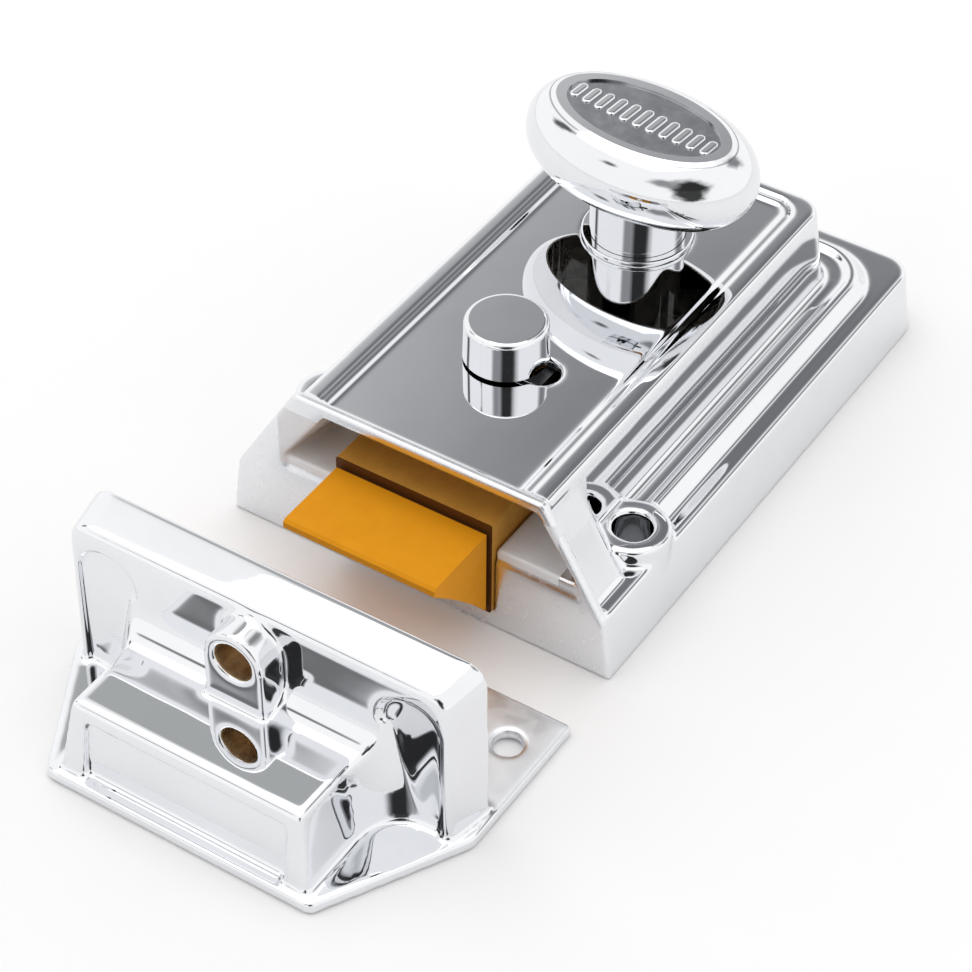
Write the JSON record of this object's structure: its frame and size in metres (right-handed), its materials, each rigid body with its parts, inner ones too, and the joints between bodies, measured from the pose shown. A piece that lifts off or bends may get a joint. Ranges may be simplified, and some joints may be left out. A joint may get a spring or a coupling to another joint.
{
  "type": "rim night latch",
  "caption": "Chrome rim night latch with oval turn knob, snib button and bevelled brass latch bolt, with its matching keep beside it.",
  "frame": {"origin": "axis of the turn knob and cylinder bar on the mounting face, z = 0 at the back of the case", "axes": "+X the way the bolt is thrown, towards the forend and keep; +Y along the forend; +Z out of the door into the room"},
  "size_m": [0.1531, 0.067, 0.0474],
  "materials": {
    "chrome": "mirror polished plating on a zinc casting",
    "bolt_brass": "satin amber lacquer",
    "brass": "as machined",
    "plated_steel": "bright zinc plate",
    "bright_steel": "drawn and turned steel"
  },
  "bodies": {
    "lock_case": {"case": "chrome", "back_plate": "plated_steel", "plate_screws": "bright_steel", "knob_bush": "chrome", "spring_abutment": "plated_steel", "abutment_screws": "bright_steel"},
    "bolt": {"latch_bolt": "bolt_brass", "bolt_tail": "plated_steel", "bolt_rivets": "brass", "spring_guides": "bright_steel", "bolt_springs": "bright_steel"},
    "turn_knob": {"knob": "chrome", "spindle": "bright_steel", "knob_pin": "bright_steel", "knob_circlip": "bright_steel", "thrust_washer": "plated_steel", "cam": "plated_steel", "follower": "brass", "cam_spring": "bright_steel"},
    "snib": {"snib_button": "chrome", "snib_slide": "plated_steel", "snib_clip": "bright_steel"},
    "keep": {"keep": "chrome"}
  },
  "joints": [
    {"name": "bolt_slide", "type": "slide", "parent": "lock_case", "child": "bolt", "axis": [1, 0, 0], "range_m": [-0.0135, 0], "stiffness_N_per_m": 350, "springref_m": 0.012, "deforming": ["bolt_springs"]},
    {"name": "knob_turn", "type": "hinge", "parent": "lock_case", "child": "turn_knob", "pos_m": [0, 0, 0], "axis": [0, 0, 1], "range_deg": [0, 60], "deforming": ["cam_spring"]},
    {"name": "snib_shift", "type": "slide", "parent": "lock_case", "child": "snib", "axis": [0, 1, 0], "range_m": [0, 0.006]},
    {"name": "keep_place", "type": "slide", "parent": "lock_case", "child": "keep", "axis": [1, 0, 0], "range_m": [-0.008, 0.04]}
  ],
  "couplings": [
    {"joint": "knob_turn", "follows": "bolt_slide", "rad_per_m": -77.57}
  ]
}
